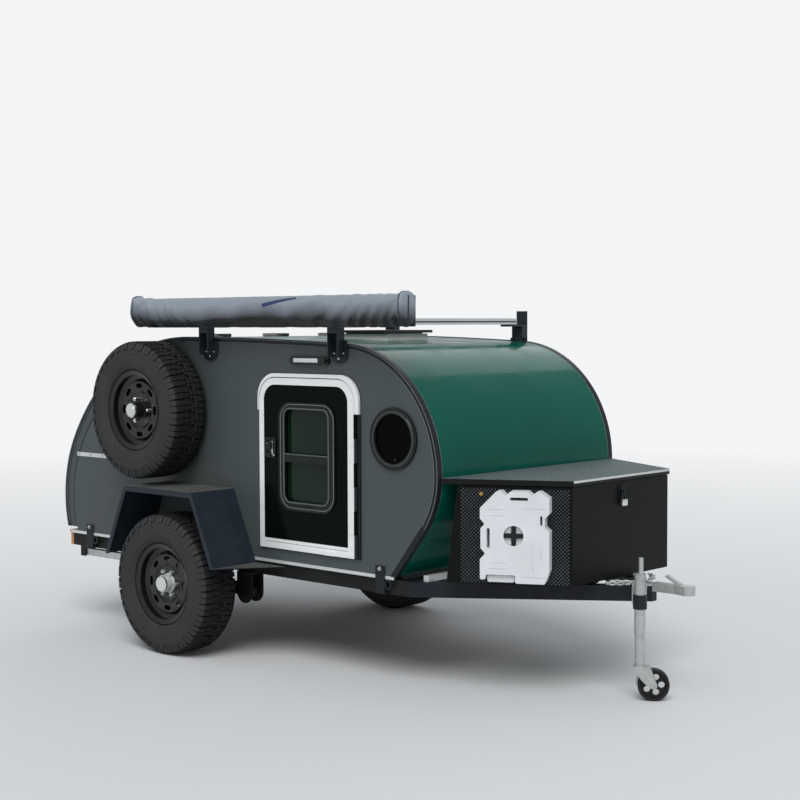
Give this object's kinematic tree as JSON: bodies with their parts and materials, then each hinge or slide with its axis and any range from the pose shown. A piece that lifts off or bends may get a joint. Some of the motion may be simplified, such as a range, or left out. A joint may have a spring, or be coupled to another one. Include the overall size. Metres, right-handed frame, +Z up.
{
  "type": "teardrop camping trailer",
  "caption": "Teardrop sleeping trailer with side doors, rear galley hatch, tongue toolbox, rolled awning and side-mounted spare wheel.",
  "frame": {"origin": "on the ground, on the centre line, at the middle of the overall length", "axes": "+X forward towards the coupler, +Y to the left, +Z up"},
  "size_m": [4.0374, 2.064, 1.963],
  "materials": {
    "black_frame": "satin",
    "charcoal": "textured matte",
    "green": "gloss",
    "silver": "brushed",
    "gloss_black": "gloss",
    "zinc": "galvanised",
    "rubber": "matte",
    "tyre": "matte",
    "glass": "tinted",
    "white_plastic": "matte",
    "black_plastic": "matte",
    "grey_plastic": "matte",
    "pvc": "coated cloth",
    "timber": "varnished",
    "lamp_red": "gloss"
  },
  "bodies": {
    "chassis": {"awning_bag": "pvc", "container_mount": "black_plastic", "coupler": "zinc", "cross_members": "black_frame", "crossbars": "silver", "door_frame_left": "silver", "door_frame_right": "silver", "edge_trim": "black_frame", "fender_left": "black_frame", "fender_right": "black_frame", "floor_panel": "timber", "galley": "timber", "jack_bracket": "zinc", "main_rails": "black_frame", "plate_bracket": "black_frame", "porch_lights": "black_plastic", "porthole_glass": "glass", "porthole_rings": "black_plastic", "rack_brackets": "black_frame", "roof_skin": "green", "roof_vent": "white_plastic", "rubber_springs": "rubber", "safety_chains": "zinc", "side_wall_left": "charcoal", "side_wall_right": "charcoal", "sill_strips": "silver", "spare_mount": "black_frame", "spare_rim": "black_frame", "spare_tyre": "tyre", "tail_lamps": "lamp_red", "tie_brackets": "black_frame", "tongue_arms": "black_frame", "tongue_bar": "silver", "toolbox": "black_frame", "trailing_arms": "black_frame", "water_container": "white_plastic"},
    "wheel_right": {"tyre_right": "tyre", "rim_right": "black_frame", "hub_right": "zinc"},
    "wheel_left": {"tyre_left": "tyre", "rim_left": "black_frame", "hub_left": "zinc"},
    "door_right": {"door_leaf_right": "gloss_black", "window_frame_right": "grey_plastic", "window_glass_right": "glass", "door_handle_right": "black_plastic"},
    "door_left": {"door_leaf_left": "gloss_black", "window_frame_left": "grey_plastic", "window_glass_left": "glass", "door_handle_left": "black_plastic"},
    "hatch": {"hatch_shell": "green", "hatch_trim": "black_frame", "hatch_handle": "black_plastic"},
    "lid": {"toolbox_lid": "black_frame"},
    "jack_swing_body": {"jack_tube": "zinc"},
    "jack_slide_body": {"jack_inner": "zinc"},
    "jack_caster": {"jack_fork": "zinc"},
    "jack_roller": {"jack_wheel": "rubber"},
    "leg_right": {"stabiliser_right": "zinc"},
    "leg_left": {"stabiliser_left": "zinc"}
  },
  "joints": [
    {"name": "wheel_right_spin", "type": "hinge", "parent": "chassis", "child": "wheel_right", "pos_m": [-0.72259, -0.905, 0.387], "axis": [0, 1, 0], "continuous": true},
    {"name": "wheel_left_spin", "type": "hinge", "parent": "chassis", "child": "wheel_left", "pos_m": [-0.72259, 0.905, 0.387], "axis": [0, 1, 0], "continuous": true},
    {"name": "door_right_hinge", "type": "hinge", "parent": "chassis", "child": "door_right", "pos_m": [0.50541, -0.746, 1], "axis": [0, 0, 1], "range_deg": [0, 120]},
    {"name": "door_left_hinge", "type": "hinge", "parent": "chassis", "child": "door_left", "pos_m": [0.50541, 0.746, 1], "axis": [0, 0, -1], "range_deg": [0, 120]},
    {"name": "hatch_hinge", "type": "hinge", "parent": "chassis", "child": "hatch", "pos_m": [-0.87259, 0, 1.74196], "axis": [0, 1, 0], "range_deg": [0, 85]},
    {"name": "lid_hinge", "type": "hinge", "parent": "chassis", "child": "lid", "pos_m": [1.11691, 0, 1.041], "axis": [0, -1, 0], "range_deg": [0, 80]},
    {"name": "jack_swing", "type": "hinge", "parent": "chassis", "child": "jack_swing_body", "pos_m": [1.8, -0.13064, 0.474], "axis": [0.585, -0.8111, 0], "range_deg": [-90, 0]},
    {"name": "jack_slide", "type": "slide", "parent": "jack_swing_body", "child": "jack_slide_body", "axis": [0, 0, -1], "range_m": [-0.1434, 0.06]},
    {"name": "jack_swivel", "type": "hinge", "parent": "jack_slide_body", "child": "jack_caster", "pos_m": [1.8, -0.13064, 0.163], "axis": [0, 0, -1], "continuous": true},
    {"name": "jack_wheel_spin", "type": "hinge", "parent": "jack_caster", "child": "jack_roller", "pos_m": [1.85272, -0.09261, 0.076], "axis": [0.585, -0.8111, 0], "continuous": true},
    {"name": "leg_right_hinge", "type": "hinge", "parent": "chassis", "child": "leg_right", "pos_m": [-1.84059, -0.68, 0.424], "axis": [0, 1, 0], "range_deg": [0, 90]},
    {"name": "leg_left_hinge", "type": "hinge", "parent": "chassis", "child": "leg_left", "pos_m": [-1.84059, 0.68, 0.424], "axis": [0, 1, 0], "range_deg": [0, 90]}
  ]
}
